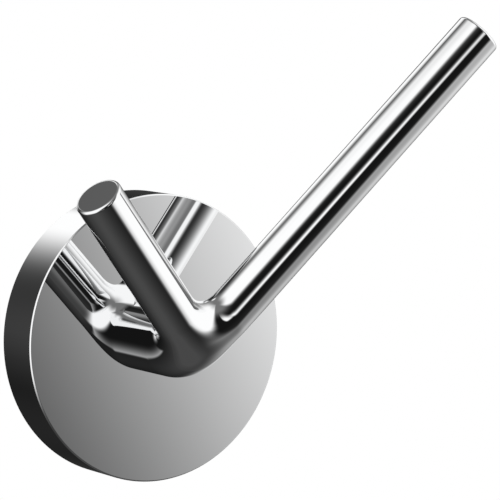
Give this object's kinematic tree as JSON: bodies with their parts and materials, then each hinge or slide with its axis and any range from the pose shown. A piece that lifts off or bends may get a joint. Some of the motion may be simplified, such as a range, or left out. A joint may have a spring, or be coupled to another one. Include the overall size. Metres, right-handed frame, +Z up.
{
  "type": "double wall hook",
  "caption": "Chromed wall hook: a round rosette on a hidden bracket carries a forked hook with a short prong and a long prong for towels and robes.",
  "frame": {"origin": "middle of the bracket's back, on the wall", "axes": "+Y into the wall, -Y into the room, +Z up, +X to the right as seen from the room"},
  "size_m": [0.0775, 0.0669, 0.0802],
  "materials": {
    "chrome_plate": "mirror polished chrome plate",
    "zinc_casting": "plain grey zinc die casting",
    "zinc_plated_steel": "bright zinc plated steel",
    "black_steel": "blackened steel",
    "grey_nylon": "moulded grey nylon"
  },
  "bodies": {
    "wall_side": {"wall_bracket": "zinc_casting", "screw_washer_upper": "zinc_plated_steel", "screw_washer_lower": "zinc_plated_steel", "wall_screw_upper": "zinc_plated_steel", "wall_screw_lower": "zinc_plated_steel", "wall_plug_upper": "grey_nylon", "wall_plug_lower": "grey_nylon"},
    "hook_cover": {"rosette": "chrome_plate", "double_hook": "chrome_plate", "hook_washer": "zinc_plated_steel", "hook_lock_washer": "black_steel", "hook_screw": "zinc_plated_steel"},
    "clamp_screw": {"grub_screw": "black_steel"}
  },
  "joints": [
    {"name": "cover_lift_off", "type": "slide", "parent": "wall_side", "child": "hook_cover", "axis": [0, -1, 0], "range_m": [0, 0.012]},
    {"name": "grub_screw_travel", "type": "slide", "parent": "hook_cover", "child": "clamp_screw", "axis": [0, 0, -1], "range_m": [0, 0.0012]}
  ]
}
